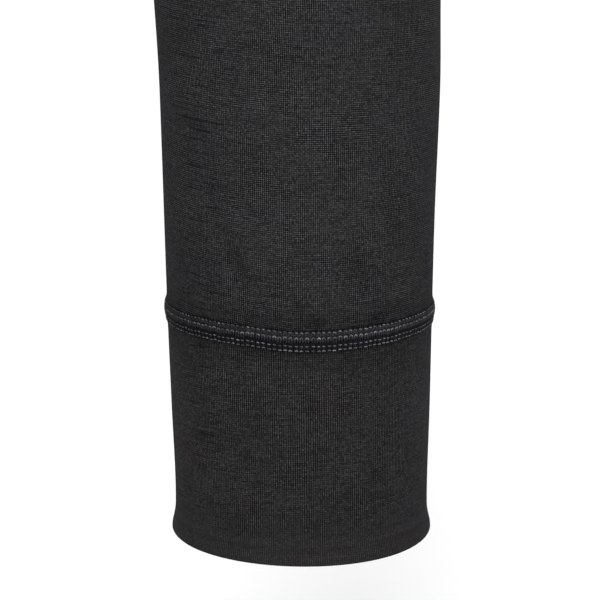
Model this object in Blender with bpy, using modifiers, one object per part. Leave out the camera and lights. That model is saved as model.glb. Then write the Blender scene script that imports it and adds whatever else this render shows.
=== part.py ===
"""Base layer pants, filled out as if worn: two wrapped leg panels, a waistband and two doubled cuffs.

Metres, +Z up. The front of the pants faces -Y and the wearer's left leg is at +X.
The origin is the centre of the waist, halfway up the waistband, where the wearer holds the pants up.
"""

import math
from bisect import bisect_right
from collections import namedtuple

import bmesh
import bpy

# Driving dimensions, as heights above the lower edge of the hem
OUTSEAM = 0.960
WAISTBAND_HEIGHT = 0.038
CUFF_SEAM = 0.0700
ORIGIN_HEIGHT = OUTSEAM - WAISTBAND_HEIGHT / 2

# Walls, and the gap that is kept where two pieces are sewn together
LEG_WALL = 0.0012
CUFF_WALL = 0.0022
WAISTBAND_WALL = 0.0020
SEAM_GAP = 0.0003

# A flat seam stands proud of the cloth by its lapped edges
SEAM_HALF_WIDTH = 0.0030
CUFF_SEAM_RISE = 0.0010
LONG_SEAM_RISE = 0.0007

# Mesh density: columns round one leg, and round the waist
LEG_COLUMNS = 36
WAIST_COLUMNS = 56
ARC_SAMPLES = 90

# Points nearer than these are one point: the two edges of an inseam, and the ends of a ring
INSEAM_WELD = 0.0004
RING_WELD = 0.00005
SHARP_EDGE = math.radians(40)

# The form, section by section from the hem up. Each section of the left half is an oval about
# (centre_x, centre_y) with its own reach outwards, inwards, to the front and to the back.
# Where the inward reach passes the middle of the body, the two legs have run together.
# spread rounds the cloth over the middle, and turn swings the inseam towards the back, in degrees.
Section = namedtuple("Section", "height centre_x centre_y outer inner front back spread turn")
SECTIONS = (
    Section(0.000, 0.1080, 0.012, 0.0406, 0.0406, 0.0406, 0.0406, 0.000, 22),
    Section(0.012, 0.1080, 0.012, 0.0396, 0.0396, 0.0396, 0.0396, 0.000, 22),
    Section(0.040, 0.1078, 0.012, 0.0404, 0.0404, 0.0404, 0.0404, 0.000, 22),
    Section(0.070, 0.1075, 0.012, 0.0410, 0.0410, 0.0410, 0.0410, 0.000, 22),
    Section(0.100, 0.1074, 0.012, 0.0415, 0.0415, 0.0414, 0.0416, 0.000, 21),
    Section(0.138, 0.1075, 0.011, 0.0424, 0.0423, 0.0422, 0.0430, 0.000, 20),
    Section(0.168, 0.1068, 0.010, 0.0428, 0.0430, 0.0428, 0.0450, 0.000, 19),
    Section(0.215, 0.1058, 0.009, 0.0465, 0.0470, 0.0460, 0.0520, 0.000, 18),
    Section(0.285, 0.1040, 0.006, 0.0540, 0.0545, 0.0530, 0.0610, 0.000, 16),
    Section(0.355, 0.1020, 0.000, 0.0550, 0.0550, 0.0570, 0.0560, 0.000, 14),
    Section(0.410, 0.1005, -0.006, 0.0580, 0.0575, 0.0625, 0.0540, 0.000, 12),
    Section(0.470, 0.0985, -0.006, 0.0650, 0.0630, 0.0700, 0.0620, 0.002, 9),
    Section(0.560, 0.0945, -0.002, 0.0790, 0.0730, 0.0850, 0.0770, 0.007, 5),
    Section(0.640, 0.0910, 0.000, 0.0880, 0.0760, 0.0925, 0.0900, 0.011, 2),
    Section(0.690, 0.0890, 0.001, 0.0915, 0.0755, 0.0950, 0.1020, 0.012, 0),
    Section(0.715, 0.0880, 0.001, 0.0925, 0.0760, 0.0970, 0.1110, 0.012, 0),
    Section(0.745, 0.0860, 0.001, 0.0940, 0.0930, 0.1000, 0.1190, 0.012, 0),
    Section(0.785, 0.0800, 0.001, 0.0985, 0.1600, 0.1045, 0.1230, 0.011, 0),
    Section(0.830, 0.0660, 0.000, 0.1075, 0.2600, 0.1085, 0.1190, 0.008, 0),
    Section(0.880, 0.0440, -0.001, 0.1190, 0.3000, 0.1080, 0.1100, 0.004, 0),
    Section(0.925, 0.0260, -0.001, 0.1240, 0.2800, 0.1040, 0.1050, 0.002, 0),
    Section(0.960, 0.0200, -0.001, 0.1270, 0.2600, 0.1020, 0.1040, 0.001, 0),
)
HEIGHTS = [section.height for section in SECTIONS]

# The rows of a leg panel, each band of heights with its own number of steps
RowBand = namedtuple("RowBand", "start end steps")
LEG_ROWS = (
    RowBand(CUFF_SEAM + SEAM_GAP, CUFF_SEAM + SEAM_HALF_WIDTH, 1),
    RowBand(CUFF_SEAM + SEAM_HALF_WIDTH, CUFF_SEAM + 2 * SEAM_HALF_WIDTH, 1),
    RowBand(CUFF_SEAM + 2 * SEAM_HALF_WIDTH, 0.120, 5),
    RowBand(0.120, 0.168, 3),
    RowBand(0.168, 0.372, 7),
    RowBand(0.372, 0.448, 9),
    RowBand(0.448, 0.690, 7),
    RowBand(0.690, 0.715, 3),
    RowBand(0.715, 0.720, 2),
    RowBand(0.720, 0.745, 3),
    RowBand(0.745, OUTSEAM - WAISTBAND_HEIGHT - SEAM_GAP, 6),
)

# The largest folds: troughs behind the knee, and puckers where the leg is eased into the cuff.
# angle is measured round the leg from its outer side, positive towards the back, in degrees.
# slope is the way the fold runs: 0 goes round the leg, 90 goes straight up it.
Fold = namedtuple("Fold", "height angle slope half_length half_width depth")
FOLDS = (
    Fold(0.438, 76, -6, 0.058, 0.0095, 0.0018),
    Fold(0.415, 98, 4, 0.072, 0.0100, 0.0030),
    Fold(0.391, 84, -3, 0.060, 0.0095, 0.0022),
    Fold(0.372, 112, 9, 0.040, 0.0085, 0.0012),
    Fold(0.0962, -118, 114, 0.030, 0.0090, 0.0010),
    Fold(0.0902, -64, 112, 0.022, 0.0085, 0.0008),
    Fold(0.0922, 62, 66, 0.026, 0.0090, 0.0009),
    Fold(0.0892, 118, 108, 0.022, 0.0085, 0.0008),
)

# The wall of a cuff in cross-section: a doubled cloth folded over at the hem, from the sewn
# edge down the outside, round the fold and up the inside. offset is outwards from the section.
Wall = namedtuple("Wall", "height offset")
CUFF_PROFILE = (
    Wall(CUFF_SEAM - SEAM_GAP / 2, CUFF_SEAM_RISE),
    Wall(CUFF_SEAM - SEAM_HALF_WIDTH, 0.0003),
    Wall(CUFF_SEAM - 2 * SEAM_HALF_WIDTH, 0.0),
    Wall(0.0400, 0.0),
    Wall(0.0105, 0.0),
    Wall(0.0068, 0.0004),
    Wall(0.0038, 0.0006),
    Wall(0.0014, 0.0001),
    Wall(0.0000, -0.0012),
    Wall(0.0012, -0.0024),
    Wall(0.0105, -CUFF_WALL),
    Wall(0.0400, -CUFF_WALL),
    Wall(CUFF_SEAM - SEAM_GAP / 2, -CUFF_WALL),
)
BAND_LOW = OUTSEAM - WAISTBAND_HEIGHT
BAND_EDGE = 0.0008
WAISTBAND_PROFILE = (
    Wall(OUTSEAM - BAND_EDGE, 0.0),
    Wall(OUTSEAM - WAISTBAND_HEIGHT / 2, 0.0),
    Wall(BAND_LOW + SEAM_HALF_WIDTH, 0.0),
    Wall(BAND_LOW, LONG_SEAM_RISE),
    Wall(BAND_LOW, -WAISTBAND_WALL),
    Wall(OUTSEAM - WAISTBAND_HEIGHT / 2, -WAISTBAND_WALL),
    Wall(OUTSEAM - BAND_EDGE, -WAISTBAND_WALL),
    Wall(OUTSEAM, -WAISTBAND_WALL + BAND_EDGE),
    Wall(OUTSEAM, -BAND_EDGE),
)

# Colours, as base colour, roughness
FINISHES = {
    "leg_knit": ((0.030, 0.030, 0.031), 0.92),
    "cuff_knit": ((0.026, 0.026, 0.027), 0.92),
    "elastic": ((0.018, 0.018, 0.020), 0.80),
}


def clear_scene():
    for item in list(bpy.data.objects):
        bpy.data.objects.remove(item)


def new_collection(name):
    collection = bpy.data.collections.new(name)
    bpy.context.scene.collection.children.link(collection)
    return collection


def new_material(name):
    colour, roughness = FINISHES[name]
    material = bpy.data.materials.new(name)
    material.use_nodes = True
    shader = material.node_tree.nodes["Principled BSDF"]
    shader.inputs["Base Color"].default_value = (*colour, 1)
    shader.inputs["Roughness"].default_value = roughness
    shader.inputs["Metallic"].default_value = 0
    return material


def tangent(heights, values, i):
    """Slope at a row of the table, the harmonic mean of its neighbours' so that nothing overshoots."""
    if i in (0, len(heights) - 1):
        return 0.0
    before = (values[i] - values[i - 1]) / (heights[i] - heights[i - 1])
    after = (values[i + 1] - values[i]) / (heights[i + 1] - heights[i])
    return 2 * before * after / (before + after) if before * after > 0 else 0.0


def section_at(height):
    """The section at any height, each column of the table taken as a smooth curve."""
    i = min(max(bisect_right(HEIGHTS, height) - 1, 0), len(SECTIONS) - 2)
    step = HEIGHTS[i + 1] - HEIGHTS[i]
    t = min(max((height - HEIGHTS[i]) / step, 0), 1)
    found = {}
    for name in Section._fields:
        values = [getattr(section, name) for section in SECTIONS]
        slope_0 = tangent(HEIGHTS, values, i) * step
        slope_1 = tangent(HEIGHTS, values, i + 1) * step
        found[name] = (
            values[i] * (1 + 2 * t) * (1 - t) ** 2
            + slope_0 * t * (1 - t) ** 2
            + values[i + 1] * t * t * (3 - 2 * t)
            + slope_1 * t * t * (t - 1)
        )
    return Section(**found)


def edge_angles(section):
    """Angles of the panel's front and back edges, measured from the outer side of the leg."""
    middle = section.centre_x - section.spread
    if section.inner > middle:
        edge = math.acos(-middle / section.inner)
        return -edge, edge
    turn = math.radians(section.turn)
    return -math.pi - turn, math.pi - turn


def on_section(section, angle):
    """(x, y) of the cloth at an angle about the leg's centre. Positive angles are towards the back."""
    side, depth = math.cos(angle), math.sin(angle)
    across = section.centre_x + (section.outer if side > 0 else section.inner) * side
    x = math.sqrt(max(across**2 - section.spread**2, 0))
    return x, section.centre_y + (section.back if depth > 0 else section.front) * depth


def even_angles(section, first, last, steps):
    """Angles from first to last that cut the section into arcs of one length."""
    angles = [first + (last - first) * i / ARC_SAMPLES for i in range(ARC_SAMPLES + 1)]
    points = [on_section(section, angle) for angle in angles]
    run = [0.0]
    for a, b in zip(points, points[1:]):
        run.append(run[-1] + math.dist(a, b))
    chosen = []
    for step in range(steps + 1):
        target = run[-1] * step / steps
        i = min(bisect_right(run, target), ARC_SAMPLES)
        share = (target - run[i - 1]) / (run[i] - run[i - 1])
        chosen.append(angles[i - 1] + share * (angles[i] - angles[i - 1]))
    return chosen


def panel_angles(section, columns):
    """Angles across a panel, from its front edge past the outer side to its back edge."""
    front, back = edge_angles(section)
    forward = even_angles(section, front, 0, columns // 2)
    return forward + even_angles(section, 0, back, columns // 2)[1:]


def row_heights(bands):
    heights = [bands[0].start]
    for band in bands:
        step = (band.end - band.start) / band.steps
        heights += [band.start + step * (i + 1) for i in range(band.steps)]
    return heights


def bump(distance, half_width):
    """A rounded rise, 1 at no distance and 0 from half_width on."""
    return (1 + math.cos(math.pi * min(abs(distance) / half_width, 1))) / 2


def fold_depth(height, angle, radius):
    """How far the cloth is drawn in by the folds at this place on a leg of this radius."""
    depth = 0.0
    for fold in FOLDS:
        round_leg = (angle - math.radians(fold.angle)) * radius
        up_leg = height - fold.height
        level, rising = math.cos(math.radians(fold.slope)), math.sin(math.radians(fold.slope))
        along = round_leg * level + up_leg * rising
        across = up_leg * level - round_leg * rising
        depth += fold.depth * bump(along, fold.half_length) * bump(across, fold.half_width)
    return depth


def seam_rise(height, column, columns):
    """How far the lapped edges of a seam lift the cloth at this place."""
    cuff_rise = CUFF_SEAM_RISE * bump(height - CUFF_SEAM, 2 * SEAM_HALF_WIDTH)
    return max(LONG_SEAM_RISE, cuff_rise) if column in (0, columns) else cuff_rise


def mirrored(shape):
    """Turns the left piece into the right one."""
    bmesh.ops.scale(shape, vec=(-1, 1, 1), verts=shape.verts)
    bmesh.ops.reverse_faces(shape, faces=shape.faces)


def new_piece(name, shape, material, collection):
    """A named object from a bmesh, smooth but for its cut edges."""
    mesh = bpy.data.meshes.new(name)
    shape.to_mesh(mesh)
    shape.free()
    mesh.shade_smooth()
    mesh.set_sharp_from_angle(angle=SHARP_EDGE)
    mesh.materials.append(material)
    piece = bpy.data.objects.new(name, mesh)
    collection.objects.link(piece)
    return piece


def leg_panel(name, is_left, material, collection):
    """One panel from the waistband to the cuff. It wraps round the leg and closes in the inseam,
    and above the crotch its two edges run up the middle of the front and the back."""
    heights = row_heights(LEG_ROWS)
    shape = bmesh.new()
    bmesh.ops.create_grid(shape, x_segments=LEG_COLUMNS, y_segments=len(heights) - 1, size=1)
    shape.verts.ensure_lookup_table()
    lifts = {}
    for row, height in enumerate(heights):
        section = section_at(height)
        for column, angle in enumerate(panel_angles(section, LEG_COLUMNS)):
            vert = shape.verts[row * (LEG_COLUMNS + 1) + column]
            x, y = on_section(section, angle)
            vert.co = (max(x, SEAM_GAP / 2), y, height - ORIGIN_HEIGHT)
            fold = fold_depth(height, angle, section.outer)
            lifts[vert] = seam_rise(height, column, LEG_COLUMNS) - fold
    shape.normal_update()
    for vert, lift in lifts.items():
        vert.co += vert.normal * lift
        vert.co.x = max(vert.co.x, SEAM_GAP / 2)
    bmesh.ops.remove_doubles(shape, verts=shape.verts, dist=INSEAM_WELD)
    if not is_left:
        mirrored(shape)
    piece = new_piece(name, shape, material, collection)
    wall = piece.modifiers.new("Wall", "SOLIDIFY")
    wall.thickness = LEG_WALL
    wall.offset = -1
    wall.use_even_offset = True
    return piece


def ring_wall(name, profile, columns, closed_leg, is_left, material, collection):
    """A closed wall with this cross-section, carried round one leg or round the waist."""
    shape = bmesh.new()
    bmesh.ops.create_grid(shape, x_segments=columns, y_segments=len(profile), size=1)
    shape.verts.ensure_lookup_table()
    for row in range(len(profile) + 1):
        wall = profile[row % len(profile)]
        section = section_at(wall.height)
        if closed_leg:
            angles = panel_angles(section, columns)
        else:
            front, back = edge_angles(section)
            angles = even_angles(section, front, back, columns // 2)
        points = [on_section(section, angle) for angle in angles]
        if not closed_leg:
            points += [(-x, y) for x, y in reversed(points[:-1])]
        for column, (x, y) in enumerate(points):
            before = points[column - 1] if column else points[-2]
            after = points[column + 1] if column < columns else points[1]
            run = (after[0] - before[0], after[1] - before[1])
            length = math.hypot(*run)
            vert = shape.verts[row * (columns + 1) + column]
            vert.co = (
                x + wall.offset * run[1] / length,
                y - wall.offset * run[0] / length,
                wall.height - ORIGIN_HEIGHT,
            )
    bmesh.ops.remove_doubles(shape, verts=shape.verts, dist=RING_WELD)
    bmesh.ops.recalc_face_normals(shape, faces=shape.faces)
    if not is_left:
        mirrored(shape)
    return new_piece(name, shape, material, collection)


def build():
    clear_scene()
    pants = new_collection("base_layer_pants")
    materials = {name: new_material(name) for name in FINISHES}
    for side, is_left in (("left", True), ("right", False)):
        leg_panel(f"leg_{side}", is_left, materials["leg_knit"], pants)
        ring_wall(
            f"cuff_{side}", CUFF_PROFILE, LEG_COLUMNS, True, is_left, materials["cuff_knit"], pants
        )
    ring_wall(
        "waistband", WAISTBAND_PROFILE, WAIST_COLUMNS, False, True, materials["elastic"], pants
    )


build()
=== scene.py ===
"""Knit, seams and studio for a pair of base layer pants, filled out as if worn.

Metres, +Z up. The front of the pants faces -Y and the wearer's left leg is at +X. The origin is the
centre of the waist. Heights in the tables are above the lower edge of the hem.
"""

import math
from bisect import bisect_right
from collections import namedtuple

import bmesh
import bpy
import numpy as np
from bpy.props import BoolProperty, FloatProperty, FloatVectorProperty, IntProperty, PointerProperty
from mathutils import Matrix, Vector
from mathutils.bvhtree import BVHTree


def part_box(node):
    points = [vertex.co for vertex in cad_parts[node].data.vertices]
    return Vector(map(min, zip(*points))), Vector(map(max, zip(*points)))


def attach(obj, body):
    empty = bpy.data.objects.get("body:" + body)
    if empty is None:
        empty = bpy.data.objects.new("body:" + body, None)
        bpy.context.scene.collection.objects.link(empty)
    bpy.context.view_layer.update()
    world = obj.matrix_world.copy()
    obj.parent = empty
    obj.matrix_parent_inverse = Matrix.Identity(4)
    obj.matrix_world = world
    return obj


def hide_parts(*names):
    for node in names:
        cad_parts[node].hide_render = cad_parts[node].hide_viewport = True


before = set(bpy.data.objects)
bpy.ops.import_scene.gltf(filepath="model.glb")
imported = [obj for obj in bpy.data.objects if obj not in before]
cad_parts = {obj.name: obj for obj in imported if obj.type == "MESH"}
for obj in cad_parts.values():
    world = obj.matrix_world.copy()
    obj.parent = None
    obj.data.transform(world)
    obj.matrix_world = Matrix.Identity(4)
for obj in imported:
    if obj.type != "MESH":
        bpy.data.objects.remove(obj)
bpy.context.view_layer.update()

bl_info = {
    "name": "Base layer pants",
    "version": (1, 0, 0),
    "blender": (4, 5, 0),
    "location": "View3D > Sidebar > Pants",
    "description": "Fine knit, flat seams and a studio for base layer pants filled out as if worn",
    "category": "Add Mesh",
}

# The pieces stay this far apart at a seam. The two legs come closer at the rise, so that no light
# comes through.
SEAM_GAP = 0.0003
RISE_GAP = 0.00004

# The hem's place on Z, and heights above it. All but the crotch's are taken from the frame.
HEM_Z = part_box("cuff_left")[0].z
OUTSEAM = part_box("waistband")[1].z - HEM_Z
BAND_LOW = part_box("waistband")[0].z - HEM_Z
CUFF_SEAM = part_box("cuff_left")[1].z - HEM_Z + SEAM_GAP / 2
CROTCH = 0.715
# Each leg, and its side on X
SIDES = (("left", 1), ("right", -1))

# A flat seam stands proud of the cloth by its lapped edges
SEAM_HALF_WIDTH = 0.0028
CUFF_SEAM_RISE = 0.00075
LONG_SEAM_RISE = 0.0007

# The form, section by section from the hem up. Each section of the left half is an oval about
# (centre_x, centre_y) with its own reach outwards, inwards, to the front and to the back.
# Where the inward reach passes the middle of the body, the two legs have run together.
# spread rounds the cloth over the middle, and turn swings the inseam towards the back, in degrees.
Section = namedtuple("Section", "height centre_x centre_y outer inner front back spread turn")
SECTIONS = (
    Section(0.000, 0.1080, 0.012, 0.0398, 0.0398, 0.0398, 0.0398, 0.000, 22),
    Section(0.012, 0.1080, 0.012, 0.0397, 0.0397, 0.0397, 0.0397, 0.000, 22),
    Section(0.040, 0.1078, 0.012, 0.0404, 0.0404, 0.0404, 0.0404, 0.000, 22),
    Section(0.070, 0.1075, 0.012, 0.0410, 0.0410, 0.0410, 0.0410, 0.000, 22),
    Section(0.100, 0.1074, 0.012, 0.0415, 0.0415, 0.0414, 0.0416, 0.000, 21),
    Section(0.138, 0.1075, 0.011, 0.0424, 0.0423, 0.0422, 0.0430, 0.000, 20),
    Section(0.168, 0.1068, 0.010, 0.0428, 0.0430, 0.0428, 0.0450, 0.000, 19),
    Section(0.215, 0.1058, 0.009, 0.0465, 0.0470, 0.0460, 0.0520, 0.000, 18),
    Section(0.285, 0.1040, 0.006, 0.0540, 0.0545, 0.0530, 0.0610, 0.000, 16),
    Section(0.355, 0.1020, 0.000, 0.0550, 0.0550, 0.0570, 0.0560, 0.000, 14),
    Section(0.410, 0.1005, -0.006, 0.0580, 0.0575, 0.0625, 0.0540, 0.000, 12),
    Section(0.470, 0.0985, -0.006, 0.0650, 0.0630, 0.0700, 0.0620, 0.002, 9),
    Section(0.560, 0.0945, -0.002, 0.0790, 0.0730, 0.0850, 0.0770, 0.007, 5),
    Section(0.640, 0.0910, 0.000, 0.0880, 0.0760, 0.0925, 0.0900, 0.011, 2),
    Section(0.690, 0.0890, 0.001, 0.0915, 0.0755, 0.0950, 0.1020, 0.012, 0),
    Section(0.715, 0.0880, 0.001, 0.0925, 0.0760, 0.0970, 0.1110, 0.012, 0),
    Section(0.745, 0.0860, 0.001, 0.0940, 0.0930, 0.1000, 0.1190, 0.012, 0),
    Section(0.785, 0.0800, 0.001, 0.0985, 0.1600, 0.1045, 0.1230, 0.011, 0),
    Section(0.830, 0.0660, 0.000, 0.1075, 0.2600, 0.1085, 0.1190, 0.008, 0),
    Section(0.880, 0.0440, -0.001, 0.1190, 0.3000, 0.1080, 0.1100, 0.004, 0),
    Section(0.925, 0.0260, -0.001, 0.1240, 0.2800, 0.1040, 0.1050, 0.002, 0),
    Section(0.960, 0.0200, -0.001, 0.1270, 0.2600, 0.1020, 0.1040, 0.001, 0),
)

# The rows of a leg panel, each band of heights with its own number of steps
RowBand = namedtuple("RowBand", "start end steps")
LEG_ROWS = (
    RowBand(CUFF_SEAM + SEAM_GAP, 0.084, 14),
    RowBand(0.084, 0.172, 76),
    RowBand(0.172, 0.370, 42),
    RowBand(0.370, 0.450, 32),
    RowBand(0.450, 0.690, 34),
    RowBand(0.690, CROTCH, 10),
    RowBand(CROTCH, 0.725, 8),
    RowBand(0.725, BAND_LOW - SEAM_GAP, 34),
)
# Distances from a panel's sewn edges that get a column each, so that the ridge is round
EDGE_STATIONS = (0.0, 0.0009, 0.0018, 0.0027, 0.0036, 0.0046, 0.0060, 0.0080)
PANEL_COLUMNS = 144
ARC_SAMPLES = 360
# Points closer than this are merged
LEG_MERGE = 0.0002
RING_MERGE = 0.00004

# The wales run straight down the middle of a leg's front, and the courses sink by this share of
# their run towards its inside
GRAIN_ANGLE = -math.pi / 2
COURSE_SKEW = 0.07

# Troughs pressed into the cloth, or ridges where depth is below zero. angle is measured round the
# leg from its outer side, positive towards the back. slope 0 goes round the leg, 90 straight up it.
Fold = namedtuple("Fold", "height angle slope half_length half_width depth")
LEG_FOLDS = (
    Fold(0.438, 76, -6, 0.058, 0.0095, 0.0018),
    Fold(0.415, 98, 4, 0.072, 0.0100, 0.0030),
    Fold(0.391, 84, -3, 0.060, 0.0095, 0.0022),
    Fold(0.372, 112, 9, 0.040, 0.0085, 0.0012),
    Fold(0.427, 110, 2, 0.050, 0.0070, -0.0009),
    Fold(0.403, 78, -2, 0.052, 0.0070, -0.0008),
    Fold(0.455, 118, 14, 0.034, 0.0080, 0.0009),
    Fold(0.434, -104, -10, 0.034, 0.0090, 0.0005),
    Fold(0.377, -72, 8, 0.040, 0.0090, 0.0006),
    Fold(0.350, -118, 16, 0.026, 0.0080, 0.0004),
    Fold(0.736, -142, 38, 0.052, 0.0090, 0.0012),
    Fold(0.722, -124, 52, 0.044, 0.0085, 0.0010),
    Fold(0.756, -118, 30, 0.040, 0.0090, 0.0008),
    Fold(0.728, 132, -30, 0.050, 0.0100, 0.0014),
    Fold(0.706, 112, -16, 0.048, 0.0090, 0.0011),
    Fold(0.690, 88, -8, 0.036, 0.0090, 0.0007),
    Fold(0.668, -160, 64, 0.040, 0.0090, 0.0007),
    Fold(0.640, 160, -58, 0.046, 0.0090, 0.0008),
    Fold(0.880, -38, -12, 0.036, 0.0100, 0.0006),
    Fold(0.860, 40, 10, 0.034, 0.0100, 0.0006),
    Fold(0.230, 60, 12, 0.030, 0.0080, 0.0006),
    Fold(0.205, 104, -8, 0.036, 0.0080, 0.0007),
    Fold(0.188, 70, 6, 0.026, 0.0075, 0.0005),
)
# Where the wider leg is eased into its cuff
ANKLE_FOLDS = (
    Fold(0.0920, -116.8, 117.8, 0.0150, 0.0052, 0.0010),
    Fold(0.1080, -126.5, 104, 0.0110, 0.0050, 0.0007),
    Fold(0.0805, -89, 115.8, 0.0090, 0.0036, 0.0006),
    Fold(0.0900, -65, 113.8, 0.0110, 0.0044, 0.0008),
    Fold(0.1066, -50, 130.8, 0.0090, 0.0044, 0.0005),
    Fold(0.0757, -111.8, 12, 0.0080, 0.0022, 0.0006),
    Fold(0.0753, -83, 6, 0.0038, 0.0019, 0.0014),
    Fold(0.0752, -55.6, 10, 0.0044, 0.0018, 0.0015),
    Fold(0.0752, 14, -8, 0.0040, 0.0018, 0.0012),
    Fold(0.0754, 58, 4, 0.0046, 0.0019, 0.0014),
    Fold(0.0752, 128, 12, 0.0038, 0.0018, 0.0011),
    Fold(0.0822, -142, 70, 0.0080, 0.0036, 0.0005),
    Fold(0.0852, -24, 108, 0.0110, 0.0044, 0.0006),
    Fold(0.0930, 8, 80, 0.0120, 0.0046, 0.0007),
    Fold(0.0842, 38, 112, 0.0100, 0.0040, 0.0006),
    Fold(0.0922, 66, 66, 0.0150, 0.0050, 0.0009),
    Fold(0.0822, 96, 96, 0.0080, 0.0036, 0.0005),
    Fold(0.0930, 122, 110, 0.0130, 0.0046, 0.0008),
    Fold(0.0842, 150, 78, 0.0100, 0.0040, 0.0006),
    Fold(0.1152, -160, 8, 0.0120, 0.0022, 0.0003),
    Fold(0.1232, -150, 4, 0.0140, 0.0022, 0.0003),
    Fold(0.1322, -156, -4, 0.0130, 0.0024, 0.0003),
    Fold(0.1552, -152, 3, 0.0150, 0.0024, 0.0003),
    Fold(0.1272, -26, -6, 0.0120, 0.0024, 0.0003),
    Fold(0.1432, -30, 4, 0.0120, 0.0022, 0.0003),
)
CUFF_FOLDS = (
    Fold(0.0172, -150, 6, 0.0120, 0.0022, 0.0003),
    Fold(0.0242, -158, -4, 0.0110, 0.0022, 0.0003),
    Fold(0.0312, -148, 3, 0.0130, 0.0022, 0.0003),
    Fold(0.0222, -32, -5, 0.0110, 0.0022, 0.0003),
    Fold(0.0282, -26, 4, 0.0120, 0.0022, 0.0003),
    Fold(0.0046, -84, 2, 0.0100, 0.0010, 0.0004),
)

# The cuff's seam isn't level, and its threads are given painted light and shade: how far it lies above
# CUFF_SEAM, and how light its threads are painted, lightest at the front of the leg and darker round
# its sides, most of all on the inside, by the angle round the leg
SeamLevel = namedtuple("SeamLevel", "angle rise light")
SEAM_LEVELS = (
    SeamLevel(-180, 0.00090, 0.36),
    SeamLevel(-140, 0.00090, 0.62),
    SeamLevel(-114, 0.00055, 0.92),
    SeamLevel(-86, -0.00065, 1.06),
    SeamLevel(-60, -0.00025, 1.12),
    SeamLevel(-25, 0.00035, 0.72),
    SeamLevel(60, 0.00010, 0.85),
    SeamLevel(130, 0.00060, 0.80),
    SeamLevel(180, 0.00090, 0.36),
)
SEAM_REACH = 0.045
# Degrees from one place where the seam's rise is worked out to the next
RISE_TURN = 4

# The cuff's hem isn't level either: it rises and dips twice as it goes round
HEM_WAVE = 0.0003
HEM_WAVE_TOP = math.radians(-110)
HEM_REACH = 0.030

# A cuff and the waistband are each one cloth folded double. The wall is followed from the sewn
# edge down or up the outside, round the fold and back inside. offset is outwards from the section,
# light is painted light and shade, lighter on the hem's flare, which faces up towards the light, and
# darker above it and along the lower edge, and relief is how clear its stitches are.
Wall = namedtuple("Wall", "height offset light relief", defaults=(0.0, 1.0))
CUFF_WALL = 0.0022
CUFF_PROFILE = (
    Wall(CUFF_SEAM - SEAM_GAP / 2, CUFF_SEAM_RISE),
    Wall(CUFF_SEAM - SEAM_HALF_WIDTH, 0.0003),
    Wall(CUFF_SEAM - 2 * SEAM_HALF_WIDTH, 0.0),
    Wall(0.0400, 0.0),
    Wall(0.0180, 0.0, -0.03, 0.95),
    Wall(0.0120, 0.0, -0.06, 0.80),
    Wall(0.0088, 0.0, -0.04, 0.65),
    Wall(0.0066, 0.0001, 0.14, 0.60),
    Wall(0.0052, 0.0003, -0.06, 0.50),
    Wall(0.0036, 0.0006, 0.10, 0.55),
    Wall(0.0018, 0.0010, 0.08, 0.50),
    Wall(0.0006, 0.0011, 0.0, 0.40),
    Wall(0.0000, 0.0004, -0.40, 0.40),
    Wall(0.0003, -0.0008, -0.40, 0.40),
    Wall(0.0020, -0.0017, 0.0, 0.60),
    Wall(0.0105, -CUFF_WALL),
    Wall(0.0400, -CUFF_WALL),
    Wall(CUFF_SEAM - SEAM_GAP, -CUFF_WALL),
)
BAND_WALL = 0.0020
BAND_MIDDLE = (BAND_LOW + OUTSEAM) / 2
BAND_PROFILE = (
    Wall(BAND_LOW, LONG_SEAM_RISE),
    Wall(BAND_LOW + SEAM_HALF_WIDTH, 0.0),
    Wall(BAND_MIDDLE, 0.0),
    Wall(OUTSEAM - 0.0012, 0.0),
    Wall(OUTSEAM, -BAND_WALL / 2),
    Wall(OUTSEAM - 0.0012, -BAND_WALL),
    Wall(BAND_MIDDLE, -BAND_WALL),
    Wall(BAND_LOW, -BAND_WALL),
)
# spacing is about how far apart a ring's rows of points are, columns is how many points go all
# round it, seam is the height of its seam, and finish is its material
Ring = namedtuple("Ring", "profile spacing columns round_leg seam finish slot")
CUFF_RING = Ring(CUFF_PROFILE, 0.0013, 164, True, CUFF_SEAM, "cuff_jersey", "cuff_knit")
BAND_RING = Ring(BAND_PROFILE, 0.0022, 300, False, BAND_LOW, "waist_elastic", "elastic")
LEAST_STEPS = 3
# A wall further in than this belongs to the layer that is turned in, where no seam shows
TURNED_IN = -0.0004
FAR_FROM_SEAM = 1.0

# Painted shade: how much darker the cloth is in a trough, for each metre of its depth, and how much
# darker the leg is just above the cuff's seam, with how far up that painted shade reaches
TROUGH_SHADE = 200
ANKLE_SHADE = 0.11
ANKLE_SHADE_REACH = 0.042

# A flat seam, seen across: rows of stitches, loops that hook over a row, and the dark threads that
# cover the seam from one row to the next. across is from the middle of the seam, in metres.
Stitch = namedtuple("Stitch", "across slant")
Loop = namedtuple("Loop", "across radius half_angle tilt")
Cover = namedtuple("Cover", "first last width height shift count")
# Painted light and shade on a seam's threads, by the distance across it
Tone = namedtuple("Tone", "across light")
SeamKind = namedtuple("SeamKind", "facets stitches loops covers lobes holes tones")
CUFF_SEAM_KIND = SeamKind(
    facets=(6, 5),
    stitches=(Stitch(0.0027, -14), Stitch(-0.00112, -9)),
    loops=(Loop(0.00125, 0.00044, 80, -16), Loop(-0.0025, 0.00056, 50, -12)),
    covers=(Cover(-0.0012, -0.0024, 0.00030, 0.00008, 0.00070, 1),),
    lobes=(
        Cover(0.00112, -0.00024, 0.00070, 0.00024, 0.00012, 2),
        Cover(0.00265, 0.00150, 0.00082, 0.00026, 0.00010, 2),
    ),
    holes=(0.00305, -0.00285),
    # Painted light and shade: each lobe is lighter at its top and darker at its lower end
    tones=(
        Tone(-0.0009, 1.0),
        Tone(-0.0005, 0.50),
        Tone(0.0004, 0.82),
        Tone(0.0010, 1.10),
        Tone(0.0014, 1.0),
        Tone(0.0018, 0.65),
        Tone(0.0025, 1.0),
    ),
)
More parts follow.
